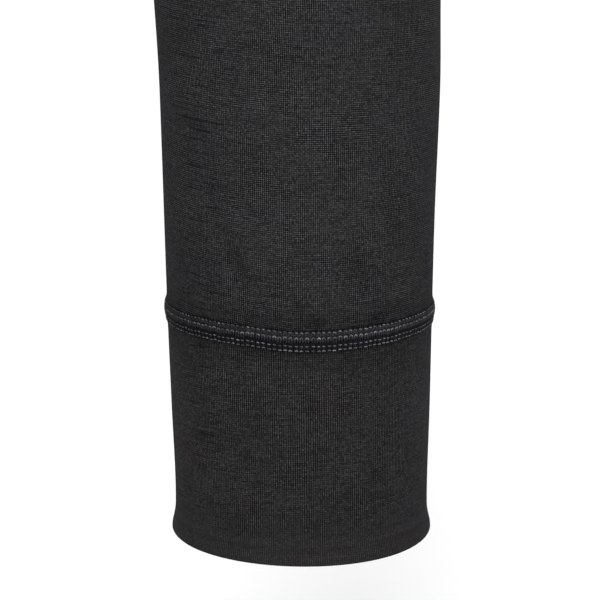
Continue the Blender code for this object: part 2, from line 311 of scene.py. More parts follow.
LONG_SEAM_KIND = SeamKind(
    facets=(5, 4),
    stitches=(Stitch(0.0030, -10), Stitch(0.0010, 0), Stitch(-0.00160, -8), Stitch(-0.0031, 0)),
    loops=(),
    covers=(Cover(0.0009, -0.0014, 0.00080, 0.00022, 0.00010, 1),),
    lobes=(),
    holes=(),
    tones=(Tone(0, 1.0),),
)
# Shares of the pitch: half a stitch's length, and how far on its needle hole is
STITCH_HALF_LENGTH = 0.33
HOLE_PLACE = 0.02
# Shares of the thread's thickness: half a stitch's thickness, how high stitches and loops lie, and
# the radius of the painted shade at a needle hole
STITCH_HALF_WIDTH = 0.56
STITCH_LIFT = 0.20
LOOP_LIFT = 0.30
HOLE_RADIUS = 0.62
# How high the dark disc of painted shade at a needle hole lies on the cloth, in metres
HOLE_LIFT = 0.00006
# The share of a cover thread's width that is sunk in the cloth
COVER_SUNK = 0.30
LOOP_SIDES = 6
LOOP_STEPS = 6
HOLE_SIDES = 6
COVER_STEPS = 4
LOBE_FACETS = (6, 5)
# How far a stitch strays at most: along the seam, across it and outwards
STRAY = (0.00012, 0.00011, 0.00004)
SEAM_PARTS = ("stitches", "lobes", "cover_thread", "needle_holes")
# A long seam stops this far from the middle of a seam that it runs into, and so far under the crotch
SEAM_END = 0.0045
CROTCH_END = 0.0015
INSEAM_PLACES = 200
RISE_PLACES = 160
# Half the turn over which the cloth's direction at the inseam is taken
EDGE_TURN = 0.01

# A smooth step: the value goes from to_low to to_high while its source goes from low to high
Step = namedtuple("Step", "low high to_low to_high", defaults=(0.0, 1.0))
# Noise on the cut, with about so many spots to a metre across and along the cloth
COLUMN_WANDER = (260, 60)
ROW_WANDER = (60, 300)
FIBRES = (2300, 2300)
SLUBS = (110, 1500)
# Noise passed through a step: how deep the wales and the courses are, thin dark yarns and where they
# show, and patches of another tone or warmth
Patches = namedtuple("Patches", "across along offset detail step")
WALE_SHARES = Patches(70, 45, 0.0, 2.0, Step(0.30, 0.70, 0.50, 1.30))
COURSE_SHARES = Patches(40, 90, 7.0, 2.0, Step(0.30, 0.70, 1.40, 0.40))
DARK_YARNS = Patches(45, 1350, 3.0, 2.0, Step(0.35, 0.39, 0.30, 1.00))
YARN_PLACES = Patches(30, 40, 11.0, 2.0, Step(0.30, 0.46))
TONE_PATCHES = Patches(45, 55, 5.0, 3.0, Step(0.25, 0.75, 0.92, 1.08))
WARM_PATCHES = Patches(55, 65, 17.0, 3.0, Step(0.45, 0.72))
# Steps by the distance across from the leg's front, by the distance from a seam, which gives painted
# shadow beside it and then its thread, and by how far the cloth is seen from its side, which gives
# painted shade
YARNS_INWARDS = Step(-0.008, -0.030, 0.25, 1.00)
SEAM_SHADOW = Step(0.0028, 0.0120, 0.76, 1.00)
SEAM_EDGE_SHADOW = Step(0.0029, 0.0042, 0.45, 1.00)
SEAM_THREAD = Step(0.0031, 0.0028)
SIDE_SHADE = Step(0.76, 0.95, 1.00, 0.62)
# Shares of a row's height: how far noise moves a row up or down, and how far a stitch arches
ROW_WANDER_DEPTH = 0.7
LOOP_ARCH = 0.22
# How much the noise of fibres and slubs changes the tone, and how much the fibres stand out
FIBRE_DEPTH = 3.4
SLUB_DEPTH = 8.0
FIBRE_RELIEF = 0.8
LEAST_TONE = 0.05
# A factor, and what is added to it
STITCH_TONE = (0.7, 0.65)
SEAM_THREAD_TONE = (0.35, 0.15)
KNIT_ROUGHNESS = (0.03, 0.88)
KNIT_SHADER = {
    "Specular IOR Level": 0.03,
    "Sheen Weight": 0.008,
    "Sheen Roughness": 0.5,
    "Sheen Tint": (0.75, 0.80, 1.0, 1),
}
RELIEF_DISTANCE = 0.00008
# Each knit: its two colours, how wide and high a stitch is beside the leg's, how deep its wales and
# courses are, how far its wales wander, how uneven and how streaked its yarns are, its relief, the
# painted shade it gets where it is seen from the side, and how light the thread beside its seams is
KnitLook = namedtuple(
    "KnitLook", "cloth warm wide high wale_depth course_depth wander slub streaks bump edge thread"
)
KNIT_LOOKS = {
    "leg_jersey": KnitLook("leg", "leg_warm", 1.0, 1.0, 0.80, 0.74, 0.60, 0.12, 0.82, 0.35, -0.28, 2.4),
    "cuff_jersey": KnitLook("cuff", "cuff_warm", 1.09, 1.05, 0.95, 0.36, 0.25, 0.14, 0.65, 0.35, -0.06, 0.9),
    "waist_elastic": KnitLook("band", "band", 1.0, 3.2, 0.40, 0.60, 0.30, 0.05, 0.20, 0.60, -0.10, 1.0),
}
# Each part of a seam: its colour, its tone between two strands, how uneven its lengths are, and how
# much it shines
ThreadLook = namedtuple("ThreadLook", "colour dark uneven specular")
THREAD_LOOKS = {
    "stitches": ThreadLook("stitch", 0.20, 0.85, 0.12),
    "lobes": ThreadLook("lobe", 0.20, 0.35, 0.12),
    "cover_thread": ThreadLook("cover", 0.25, 0.50, 0.12),
    "needle_holes": ThreadLook("hole", 0.60, 0.0, 0.0),
}
# Noise in the thread, with about so many spots to a metre
STRANDS = 2600
LENGTHS = 640
STRAND_TONES = Step(0.25, 0.75)
STRAND_DEPTH = 1.1
LENGTH_TONES = Step(0.32, 0.68, 0.30, 1.65)
THREAD_ROUGHNESS = (0.2, 0.55)

FLOOR_HALF_WIDTH = 30
FLOOR_SPOTS = 3
FLOOR_TONE = (0.01, 0.99)
FLOOR_SHADER = {"Roughness": 0.9, "Specular IOR Level": 0.1}
WHITE = (1, 1, 1, 1)
KEY_WIDTH = 0.9
KEY_FROM_SEAM = (-0.20, -1.45, 1.0)
# The camera stands this far outwards of the leg's middle
CAMERA_ASIDE = 0.0001


def length(name, description, default, **limits):
    """A length as a property."""
    return FloatProperty(name=name, description=description, default=default, unit="LENGTH", **limits)


def colour(name, description, default):
    """A colour as a property."""
    return FloatVectorProperty(name=name, description=description, default=default, subtype="COLOR")


class PantsCut(bpy.types.PropertyGroup):
    """Sizes of the cloth and of its seams."""

    leg_cloth: length("Leg cloth", "Thickness of the leg knit", 0.0009, min=0.0002)
    cuff_cloth: length("Cuff cloth", "Thickness of one layer of a doubled piece", 0.0008, min=0.0002)
    wale: length("Wale", "Width of one column of knit stitches", 0.00061, min=0.0002)
    course: length("Course", "Height of one row of knit stitches", 0.00060, min=0.0002)
    stitch_pitch: length("Stitch pitch", "Distance from one seam stitch to the next", 0.0016, min=0.0005)
    thread: length("Thread", "Thickness of the sewing thread", 0.00036, min=0.0001)
    seed: IntProperty(name="Seed", description="Seed of the stitches' unevenness", default=7)
    folds: BoolProperty(name="Folds", description="Press the folds into the legs", default=True)


class PantsColours(bpy.types.PropertyGroup):
    """Colours of the cloth and the thread."""

    leg: colour("Leg knit", "Charcoal of the leg", (0.0208, 0.0208, 0.0215))
    leg_warm: colour("Leg patches", "What the leg's charcoal turns to in patches", (0.0204, 0.0200, 0.0220))
    cuff: colour("Cuff knit", "Charcoal of the cuff", (0.0166, 0.0166, 0.0174))
    cuff_warm: colour("Cuff patches", "Warmer charcoal of the cuff in patches", (0.0174, 0.0156, 0.0162))
    band: colour("Waistband", "Dark grey of the waistband", (0.0140, 0.0140, 0.0150))
    # The dark thread's own colour made much lighter by a painted highlight where light falls on the tops of
    # the stitches and loops
    stitch: colour("Stitches", "Grey of the stitches that show in rows", (0.1180, 0.1160, 0.1220))
    lobe: colour("Lobes", "Grey of the strands gathered under a row", (0.0235, 0.0222, 0.0262))
    # The cover thread's own dark colour, made darker still by painted shade between the rows of stitches
    cover: colour("Cover thread", "Dark thread that fills the seam", (0.0120, 0.0112, 0.0150))
    # Painted shade: near black discs stand in for the shade inside the needle holes
    hole: colour("Needle holes", "The dark where the thread goes in", (0.0020, 0.0020, 0.0025))


class PantsStudio(bpy.types.PropertyGroup):
    """The floor, the lights and the camera."""

    floor_drop: length("Floor drop", "How far below the hem the wearer's soles would stand", 0.080)
    camera_distance: length("Camera distance", "From the leg's middle to the camera, level", 0.6068)
    camera_above_seam: length("Camera above seam", "Height of the camera over the cuff's seam", 0.1380)
    camera_pitch: FloatProperty(
        name="Camera pitch",
        description="How far the camera looks down",
        default=math.radians(12.56),
        subtype="ANGLE",
    )
    lens: FloatProperty(name="Lens", description="Focal length, in millimetres", default=120.3)
    surround: FloatProperty(name="Surround", description="Strength of the white surround", default=1.05)
    key: FloatProperty(name="Key light", description="Power of the main soft light, in watts", default=13.0)


def smooth_row(stations, rows, at):
    """The row of a table at any station, each column taken as a smooth curve that never overshoots."""
    i = min(max(bisect_right(stations, at) - 1, 0), len(rows) - 2)
    step = stations[i + 1] - stations[i]
    t = min(max((at - stations[i]) / step, 0), 1)
    values = np.array(rows)
    slopes = [np.zeros(values.shape[1]), np.zeros(values.shape[1])]
    for end, k in enumerate((i, i + 1)):
        if 0 < k < len(rows) - 1:
            before = (values[k] - values[k - 1]) / (stations[k] - stations[k - 1])
            after = (values[k + 1] - values[k]) / (stations[k + 1] - stations[k])
            same_way = before * after > 0
            total = np.where(same_way, before + after, 1)
            slopes[end] = np.where(same_way, 2 * before * after / total, 0) * step
    found = (
        values[i] * (1 + 2 * t) * (1 - t) ** 2
        + slopes[0] * t * (1 - t) ** 2
        + values[i + 1] * t * t * (3 - 2 * t)
        + slopes[1] * t * t * (t - 1)
    )
    return type(rows[0])(*found)


HEIGHTS = [section.height for section in SECTIONS]


def section_at(height):
    """The form's section at any height above the hem."""
    return smooth_row(HEIGHTS, SECTIONS, height)


def edge_angles(section):
    """Angles of the panel's front and back edges, measured from the outer side of the leg."""
    middle = section.centre_x - section.spread
    if section.inner > middle:
        edge = math.acos(-middle / section.inner)
        return -edge, edge
    turn = math.radians(section.turn)
    return -math.pi - turn, math.pi - turn


def on_section(section, angles):
    """x and y of the cloth at angles about the leg's centre. Positive angles are towards the back."""
    side, depth = np.cos(angles), np.sin(angles)
    across = section.centre_x + np.where(side > 0, section.outer, section.inner) * side
    x = np.sqrt(np.maximum(across**2 - section.spread**2, 0))
    y = section.centre_y + np.where(depth > 0, section.back, section.front) * depth
    return x, y


def arc_table(section):
    """Angles across the panel, and the distance along the cloth to each from the front edge."""
    front, back = edge_angles(section)
    angles = np.linspace(front, back, ARC_SAMPLES + 1)
    x, y = on_section(section, angles)
    run = np.concatenate([[0], np.cumsum(np.hypot(np.diff(x), np.diff(y)))])
    return angles, run


def seam_shift(angles, heights):
    """How far the cloth is carried up or down by the cuff's uneven seam and hem."""
    stations = [level.angle for level in SEAM_LEVELS]
    every_angle = range(-180, 181, RISE_TURN)
    rises = [smooth_row(stations, SEAM_LEVELS, angle).rise for angle in every_angle]
    turns = (np.degrees(angles) + 180) % 360 - 180
    at_seam = np.interp(turns, every_angle, rises) * bump(heights - CUFF_SEAM, SEAM_REACH)
    at_hem = HEM_WAVE * np.cos(2 * (angles - HEM_WAVE_TOP)) * bump(heights, HEM_REACH)
    return at_seam + at_hem


def seam_painted_light(angles):
    """The painted light and shade on the cuff seam's threads at these angles."""
    turns = [math.radians(level.angle) for level in SEAM_LEVELS]
    return np.interp(angles, turns, [level.light for level in SEAM_LEVELS])


def bump(distance, half_width):
    """A rounded rise, 1 at no distance and 0 from half_width on."""
    return (1 + np.cos(np.pi * np.minimum(np.abs(distance) / half_width, 1))) / 2


def fold_depth(folds, heights, angles, radius):
    """How far the cloth is drawn in by the folds, at each place on a leg of this radius."""
    depth = np.zeros_like(angles)
    for fold in folds:
        turn = (angles - math.radians(fold.angle) + math.pi) % (2 * math.pi) - math.pi
        round_leg = turn * radius
        up_leg = heights - fold.height
        slope = math.radians(fold.slope)
        along = round_leg * math.cos(slope) + up_leg * math.sin(slope)
        across = up_leg * math.cos(slope) - round_leg * math.sin(slope)
        depth += fold.depth * bump(along, fold.half_length) * bump(across, fold.half_width)
    return depth


def turned(folds):
    """The same folds with front and back changed over, for the other leg."""
    return tuple(fold._replace(angle=-fold.angle, slope=-fold.slope) for fold in folds)


def row_heights(bands):
    """The height of every row of a leg panel, from the cuff up."""
    heights = [bands[0].start]
    for band in bands:
        step = (band.end - band.start) / band.steps
        heights += [band.start + step * (i + 1) for i in range(band.steps)]
    return heights


def level_rows(values, columns):
    """A row for each value, the same all the way across."""
    return np.repeat(np.array(values)[:, None], columns, 1)


def cloth_grid(x, y, z, across, along, **kept):
    """A grid moved to these places. It keeps its cut as a UV map in metres, across and along, and
    each named value at every point."""
    rows, columns = x.shape
    shape = bmesh.new()
    bmesh.ops.create_grid(shape, x_segments=columns - 1, y_segments=rows - 1, size=1)
    uv_layer = shape.loops.layers.uv.new("cut")
    layers = [(shape.verts.layers.float.new(name), value.reshape(-1)) for name, value in kept.items()]
    places = np.stack([x, y, z], -1).reshape(-1, 3)
    cut = np.stack([across, along], -1).reshape(-1, 2)
    shape.verts.index_update()
    for i, vert in enumerate(shape.verts):
        vert.co = places[i]
        for layer, values in layers:
            vert[layer] = values[i]
    for face in shape.faces:
        for loop in face.loops:
            loop[uv_layer].uv = cut[loop.vert.index]
    return shape


def lift_cloth(shape, lift):
    """Moves every point outwards by its own amount."""
    shape.normal_update()
    amounts = lift.reshape(-1)
    moved = [vert.co + vert.normal * amounts[i] for i, vert in enumerate(shape.verts)]
    for vert, place in zip(shape.verts, moved):
        vert.co = place


def face_out(shape, middle):
    """Turns all faces round if the first of them looks towards the middle."""
    shape.faces.ensure_lookup_table()
    shape.normal_update()
    first = shape.faces[0]
    if first.normal.dot(first.calc_center_median() - Vector(middle)) < 0:
        bmesh.ops.reverse_faces(shape, faces=shape.faces)


def mirrored(shape):
    """Turns the left piece into the right one."""
    bmesh.ops.scale(shape, vec=(-1, 1, 1), verts=shape.verts)
    bmesh.ops.reverse_faces(shape, faces=shape.faces)


def add_object(name, data):
    """A new object in the scene, at the origin."""
    item = bpy.data.objects.new(name, data)
    bpy.context.scene.collection.objects.link(item)
    return item


def new_piece(name, shape, material):
    """A smooth object from a bmesh, riding on the one body."""
    mesh = bpy.data.meshes.new(name)
    shape.to_mesh(mesh)
    shape.free()
    mesh.shade_smooth()
    mesh.materials.append(material)
    piece = add_object(name, mesh)
    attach(piece, "root")
    return piece


def give_wall(piece, thickness):
    """Gives the cloth its thickness, inwards."""
    wall = piece.modifiers.new("Wall", "SOLIDIFY")
    wall.thickness = thickness
    wall.offset = -1
    wall.use_even_offset = True
    wall.thickness_clamp = 1.0


def panel_row(height):
    """One row of a leg panel, from its front edge to its back edge: x and y, the distance across from
    the grain, the angle, the distance to the nearer edge, and the leg's radius."""
    section = section_at(height)
    angles, run = arc_table(section)
    inner_run = np.linspace(EDGE_STATIONS[-1], run[-1] - EDGE_STATIONS[-1], PANEL_COLUMNS + 1)
    far_edge = run[-1] - np.array(EDGE_STATIONS[-2::-1])
    stations = np.concatenate([EDGE_STATIONS[:-1], inner_run, far_edge])
    turns = np.interp(stations, run, angles)
    across = stations - np.interp(GRAIN_ANGLE, angles, run)
    edge_gap = np.minimum(stations, run[-1] - stations)
    return *on_section(section, turns), across, turns, edge_gap, section.outer


def leg_panel(name, side, folds):
    """One panel from the waistband to the cuff. It wraps round the leg and closes in the inseam,
    and above the crotch its two edges run up the middle of the front and the back."""
    cut = bpy.context.scene.pants_cut
    heights = row_heights(LEG_ROWS)
    x, y, across, angles, edge_gap, radii = map(np.array, zip(*map(panel_row, heights)))
    x = np.maximum(x, RISE_GAP / 2)
    level = level_rows(heights, x.shape[1])
    seam_gap = np.minimum(np.minimum(edge_gap, level - CUFF_SEAM), BAND_LOW - level)
    folded = fold_depth(folds, level, angles, radii[:, None]) * cut.folds
    z = level + HEM_Z + seam_shift(angles, level)
    # Painted shade: darker in the folds' troughs and on the leg just above the cuff's seam
    shade = 1 - TROUGH_SHADE * folded - ANKLE_SHADE * bump(level - CUFF_SEAM, ANKLE_SHADE_REACH)
    kept = {
        "seam_gap": seam_gap,
        "shade": shade,
        "relief": np.ones_like(shade),
        "seam_painted_light": seam_painted_light(angles),
    }
    shape = cloth_grid(x, y, z, across, level, **kept)
    rise = np.maximum(
        CUFF_SEAM_RISE * bump(level - CUFF_SEAM, 2 * SEAM_HALF_WIDTH),
        LONG_SEAM_RISE * bump(edge_gap, 2 * SEAM_HALF_WIDTH),
    )
    rise = np.maximum(rise, LONG_SEAM_RISE * bump(BAND_LOW - level, 2 * SEAM_HALF_WIDTH))
    lift_cloth(shape, rise - folded)
    for vert in shape.verts:
        vert.co.x = max(vert.co.x, RISE_GAP / 2)
    bmesh.ops.remove_doubles(shape, verts=shape.verts, dist=LEG_MERGE)
    if side == "right":
        mirrored(shape)
    piece = new_piece(name, shape, knit_material("leg_jersey"))
    give_wall(piece, cut.leg_cloth)
    return piece


def smooth_profile(walls, spacing):
    """Walls along a smooth curve through those of the table, about spacing apart."""
    run = [0.0]
    for a, b in zip(walls, walls[1:]):
        run.append(run[-1] + math.dist(a[:2], b[:2]))
    stations = []
    for start, end in zip(run, run[1:]):
        steps = max(round((end - start) / spacing), LEAST_STEPS)
        stations += [start + (end - start) * i / steps for i in range(steps)]
    stations.append(run[-1])
    return [smooth_row(run, walls, station) for station in stations], stations


def ring_row(ring, wall):
    """One row of a ring, moved out by the wall's offset: x and y, the distance round and the angle."""
    section = section_at(min(max(wall.height, 0), OUTSEAM))
    angles, run = arc_table(section)
    if ring.round_leg:
        across = np.linspace(0, run[-1], ring.columns + 1)
        turns = np.interp(across, run, angles)
        x, y = on_section(section, turns)
        across = across - np.interp(GRAIN_ANGLE, angles, run)
    else:
        half = np.interp(np.linspace(0, run[-1], ring.columns // 2 + 1), run, angles)
        x, y = on_section(section, half)
        x, y = np.concatenate([x, -x[-2::-1]]), np.concatenate([y, y[-2::-1]])
        across = np.linspace(0, 2 * run[-1], ring.columns + 1)
        turns = np.concatenate([half, 2 * math.pi - half[-2::-1]])
    step_x = np.roll(x[:-1], -1) - np.roll(x[:-1], 1)
    step_y = np.roll(y[:-1], -1) - np.roll(y[:-1], 1)
    run_length = np.hypot(step_x, step_y)
    out_x, out_y = np.append(step_y / run_length, 0), np.append(-step_x / run_length, 0)
    out_x[-1], out_y[-1] = out_x[0], out_y[0]
    return x + wall.offset * out_x, y + wall.offset * out_y, across, turns


def folded_ring(name, ring, side, folds):
    """A cloth folded double into a ring: round one leg, or round the waist."""
    walls, stations = smooth_profile(ring.profile, ring.spacing)
    turned_in = [i for i, wall in enumerate(walls) if wall.offset < TURNED_IN][0]
    x, y, across, angles = map(np.array, zip(*[ring_row(ring, wall) for wall in walls]))
    columns = x.shape[1]
    level = level_rows([wall.height for wall in walls], columns)
    seam_gap = np.abs(level - ring.seam)
    seam_gap[turned_in:] = FAR_FROM_SEAM
    folded = fold_depth(folds, level, angles, SECTIONS[0].outer)
    folded[turned_in:] = 0
    z = level + HEM_Z + (seam_shift(angles, level) if ring.round_leg else 0)
    # Painted shade in the folds' troughs, and the walls' painted light and shade along the hem
    kept = {
        "seam_gap": seam_gap,
        "shade": 1 - TROUGH_SHADE * folded + level_rows([wall.light for wall in walls], columns),
        "relief": level_rows([wall.relief for wall in walls], columns),
        "seam_painted_light": seam_painted_light(angles),
    }
    shape = cloth_grid(x, y, z, across, level_rows(stations, columns), **kept)
    middle_x = SECTIONS[0].centre_x if ring.round_leg else 0
    face_out(shape, (middle_x, SECTIONS[0].centre_y, level[0, 0] + HEM_Z))
    lift_cloth(shape, -folded)
    bmesh.ops.remove_doubles(shape, verts=shape.verts, dist=RING_MERGE)
    if side == "right":
        mirrored(shape)
    piece = new_piece(name, shape, knit_material(ring.finish))
    give_wall(piece, bpy.context.scene.pants_cut.cuff_cloth)
    return piece


def repeat_strip(shape, pitch, count):
    """Repeats what the bmesh holds, along X, until there are count of it, doubling each time."""
    made = 1
    first = list(shape.verts)
    homes = {vert: 0 for vert in first}
    while made < count:
        more = min(made, count - made)
        faces = [face for face in shape.faces if homes[face.verts[0]] < more]
        copy = bmesh.ops.duplicate(shape, geom=faces)
        for source, twin in copy["vert_map"].items():
            if source in homes and twin not in homes:
                homes[twin] = homes[source] + made
        verts = [item for item in copy["geom"] if isinstance(item, bmesh.types.BMVert)]
        bmesh.ops.translate(shape, verts=verts, vec=(made * pitch, 0, 0))
        made += more
    return [homes[vert] for vert in shape.verts]


def add_stitch(shape, place, half, slant, facets):
    """A plump thread lying along the seam, turned by slant."""
    matrix = Matrix.Translation(place) @ Matrix.Rotation(math.radians(slant), 4, "Z")
    matrix = matrix @ Matrix.Diagonal((*half, 1)) @ Matrix.Rotation(math.pi / 2, 4, "Y")
    bmesh.ops.create_uvsphere(shape, u_segments=facets[0], v_segments=facets[1], radius=1, matrix=matrix)


def add_loop(shape, x, loop, thread):
    """A thread bent into an arch over the row, spun about the arch's middle and tilted into the cloth."""
    middle = Vector((x, loop.across - loop.radius, thread * LOOP_LIFT))
    start = middle + Vector((-loop.radius, 0, 0))
    ring = bmesh.ops.create_circle(
        shape,
        segments=LOOP_SIDES,
        radius=thread / 2,
        matrix=Matrix.Translation(start) @ Matrix.Rotation(math.pi / 2, 4, "X"),
    )["verts"]
    lean = math.radians(90 - loop.half_angle)
    bmesh.ops.rotate(shape, cent=middle, matrix=Matrix.Rotation(-lean, 3, "Z"), verts=ring)
    edges = list({edge for vert in ring for edge in vert.link_edges})
    before = set(shape.verts)
    bmesh.ops.spin(
        shape,
        geom=ring + edges,
        cent=middle,
        axis=(0, 0, 1),
        angle=-2 * math.radians(loop.half_angle),
        steps=LOOP_STEPS,
        use_duplicate=False,
    )
    verts = ring + [vert for vert in shape.verts if vert not in before]
    top = (x, loop.across, thread * LOOP_LIFT)
    bmesh.ops.rotate(shape, cent=top, matrix=Matrix.Rotation(math.radians(-loop.tilt), 3, "X"), verts=verts)


def add_cover(shape, x, cover, sides):
    """A dark thread over the seam, from one row to another, sunk in the cloth at both ends."""
    reach = cover.last - cover.first
    ring = bmesh.ops.create_circle(
        shape, segments=sides, radius=cover.width / 2, matrix=Matrix.Rotation(math.pi / 2, 4, "X")
    )["verts"]
    bmesh.ops.translate(shape, verts=ring, vec=(x, cover.first, 0))
    edges = list({edge for vert in ring for edge in vert.link_edges})
    for _ in range(COVER_STEPS):
        grown = bmesh.ops.extrude_edge_only(shape, edges=edges)["geom"]
        verts = [item for item in grown if isinstance(item, bmesh.types.BMVert)]
        edges = [item for item in grown if isinstance(item, bmesh.types.BMEdge)]
        edges = [edge for edge in edges if all(vert in verts for vert in edge.verts)]
        bmesh.ops.translate(shape, verts=verts, vec=(0, reach / COVER_STEPS, 0))
        ring += verts
    for vert in ring:
        share = (vert.co.y - cover.first) / reach
        vert.co.x += cover.shift * (share - 0.5)
        vert.co.z += cover.height * math.sin(math.pi * share) - cover.width * COVER_SUNK


def add_lobe(shape, x, cover):
    """Cover threads gathered into one plump strand that hangs from a row."""
    middle = (x, (cover.first + cover.last) / 2, 0)
    half = (cover.width / 2, abs(cover.last - cover.first) / 2, cover.height, 1)
    matrix = Matrix.Translation(middle) @ Matrix.Diagonal(half)
    sides, bands = LOBE_FACETS
    bmesh.ops.create_uvsphere(shape, u_segments=sides, v_segments=bands, radius=1, matrix=matrix)


def seam_strip(seam_length, kind):
    """A straight seam along X: stitches in rows with a painted highlight, plump lobes, dark threads, and
    dark discs of painted shade at the needle holes.
    """
    cut = bpy.context.scene.pants_cut
    count = max(round(seam_length / cut.stitch_pitch), 1)
    pitch, thread = seam_length / count, cut.thread
    middle, thick = pitch / 2, thread * STITCH_HALF_WIDTH
    stitches, lobes, cover, holes = (bmesh.new() for _ in SEAM_PARTS)
    for stitch in kind.stitches:
        place = (middle, stitch.across, thread * STITCH_LIFT)
        half = (pitch * STITCH_HALF_LENGTH, thick, thick)
        add_stitch(stitches, place, half, stitch.slant, kind.facets)
    for loop in kind.loops:
        add_loop(stitches, middle, loop, thread)
    for band in kind.covers:
        for i in range(band.count):
            add_cover(cover, pitch * (i + 0.5) / band.count, band, kind.facets[0])
    for lobe in kind.lobes:
        for i in range(lobe.count):
            add_lobe(lobes, pitch * (i + 0.5) / lobe.count, lobe)
    for across in kind.holes:
        place = Matrix.Translation((pitch * HOLE_PLACE, across, HOLE_LIFT))
        radius = thread * HOLE_RADIUS
        bmesh.ops.create_circle(holes, cap_ends=True, segments=HOLE_SIDES, radius=radius, matrix=place)
    return (stitches, lobes, cover, holes), pitch, count


class Seam:
    """A line on the cloth, with a place and a sideways direction for each distance along it."""

    def __init__(self, points, sideways, cloth, light=1.0):
        self.points = np.array(points)
        self.light = np.ones(len(points)) * light
        self.sideways = np.array(sideways)
        steps = np.linalg.norm(np.diff(self.points, axis=0), axis=1)
        self.run = np.concatenate([[0], np.cumsum(steps)])
        shape = bmesh.new()
        for piece in cloth:
            shape.from_mesh(piece.data)
        self.surface = BVHTree.FromBMesh(shape)
        shape.free()

    @property
    def length(self):
        return float(self.run[-1])

    def lay(self, shape, moves, tones):
        """Bends a straight strip onto the cloth, each of its points moved a little first. It keeps at every
        point the light and shade painted on the thread, by the distance across the seam and along it."""
        layer = shape.verts.layers.float.new("light")
        flat = np.array([vert.co for vert in shape.verts]) + moves
        light = np.interp(flat[:, 1], [tone.across for tone in tones], [tone.light for tone in tones])
        light = light * np.interp(flat[:, 0], self.run, self.light)
        base = np.stack([np.interp(flat[:, 0], self.run, self.points[:, k]) for k in range(3)], 1)
        side = np.stack([np.interp(flat[:, 0], self.run, self.sideways[:, k]) for k in range(3)], 1)
        near = base + side * flat[:, 1:2]
        for vert, place, height, tone in zip(shape.verts, near, flat[:, 2], light):
            found, normal, _, _ = self.surface.find_nearest(Vector(place))
            vert.co = found + normal * float(height)
            vert[layer] = tone
        bmesh.ops.recalc_face_normals(shape, faces=shape.faces)


def sew(name, seam, kind):
    """The pieces of one seam: stitches in rows, the dark threads between them, and the painted shade of the
    needle holes.
    """
    strips, pitch, count = seam_strip(seam.length, kind)
    rng = np.random.default_rng(bpy.context.scene.pants_cut.seed + len(name))
    strays = rng.uniform(-1, 1, (count, 3)) * STRAY
    for part, shape in zip(SEAM_PARTS, strips):
        if not shape.faces:
            shape.free()
            continue
        repeats = repeat_strip(shape, pitch, count)
        seam.lay(shape, strays[repeats], kind.tones)
        new_piece(f"{name}_{part}", shape, thread_material(part))


SOCKET_KINDS = {1: "NodeSocketFloat", 3: "NodeSocketVector", 4: "NodeSocketColor"}


def new_group(name, inputs, outputs):
    """An empty shader node group with these named sockets and their defaults."""
    group = bpy.data.node_groups.new(name, "ShaderNodeTree")
    for in_out, sockets in (("INPUT", inputs), ("OUTPUT", outputs)):
        for label, default in sockets.items():
            kind = SOCKET_KINDS[np.size(default)]
            socket = group.interface.new_socket(label, in_out=in_out, socket_type=kind)
            socket.default_value = default
    return group, group.nodes.new("NodeGroupInput").outputs, group.nodes.new("NodeGroupOutput").inputs


def put(tree, socket, value):
    """Sets a socket to a number or colour, or links it to another socket."""
    if isinstance(value, bpy.types.NodeSocket):
        tree.links.new(value, socket)
    else:
        socket.default_value = value


def calc(tree, operation, *values):
    """A Math node's result."""
    node = tree.nodes.new("ShaderNodeMath")
    node.operation = operation
    for socket, value in zip(node.inputs, values):
        put(tree, socket, value)
    return node.outputs[0]


def times(tree, value, *others):
    """Values multiplied one after the other."""
    for other in others:
        value = calc(tree, "MULTIPLY", value, other)
    return value


def scaled(tree, value, factor, added):
    """A value times a factor, with something added."""
    return calc(tree, "MULTIPLY_ADD", value, factor, added)


def noise(tree, vector, scale, detail=2.0):
    """Noise from 0 to 1."""
    node = tree.nodes.new("ShaderNodeTexNoise")
    put(tree, node.inputs["Vector"], vector)
    node.inputs["Scale"].default_value = scale
    node.inputs["Detail"].default_value = detail
    return node.outputs["Fac"]


def vector_calc(tree, operation, vector, parts):
    """A vector with each part added to or multiplied."""
    node = tree.nodes.new("ShaderNodeVectorMath")
    node.operation = operation
    put(tree, node.inputs[0], vector)
    node.inputs[1].default_value = parts
    return node.outputs[0]


def flat_vector(tree, x, y):
    """A vector of two values."""
    node = tree.nodes.new("ShaderNodeCombineXYZ")
    put(tree, node.inputs[0], x)
    put(tree, node.inputs[1], y)
    return node.outputs[0]


def mixed(tree, factor, first, second, kind="FLOAT", blend="MIX"):
    """A number or a colour part of the way from the first to the second."""
    node = tree.nodes.new("ShaderNodeMix")
    node.data_type = kind
    node.blend_type = blend
    for name, value in (("Factor", factor), ("A", first), ("B", second)):
        put(tree, node.inputs[name], value)
    return node.outputs["Result"]


def tinted(tree, base, tone):
    """A colour made darker or lighter by tone."""
    grey = tree.nodes.new("ShaderNodeCombineColor")
    for socket in grey.inputs:
        put(tree, socket, tone)
    return mixed(tree, 1, base, grey.outputs[0], "RGBA", "MULTIPLY")


def stepped(tree, value, step):
    """A value passed through a smooth step."""
    node = tree.nodes.new("ShaderNodeMapRange")
    node.interpolation_type = "SMOOTHSTEP"
    names = ("Value", "From Min", "From Max", "To Min", "To Max")
    for name, number in zip(names, (value, *step)):
        put(tree, node.inputs[name], number)
    return node.outputs[0]


def kept_value(tree, name):
    """A value that the mesh keeps at every point."""
    node = tree.nodes.new("ShaderNodeAttribute")
    node.attribute_name = name
    return node.outputs["Fac"]


def add_group(tree, group):
    """A node group put in a material."""
    node = tree.nodes.new("ShaderNodeGroup")
    node.node_tree = group
    return node


def new_material(name, settings):
    """A material, its nodes and its shader, with these of the shader's sockets set."""
    material = bpy.data.materials.new(name)
    material.use_nodes = True
    shader = material.node_tree.nodes["Principled BSDF"]
    shader.inputs["Metallic"].default_value = 0
    for socket, value in settings.items():
        shader.inputs[socket].default_value = value
    return material, material.node_tree, shader


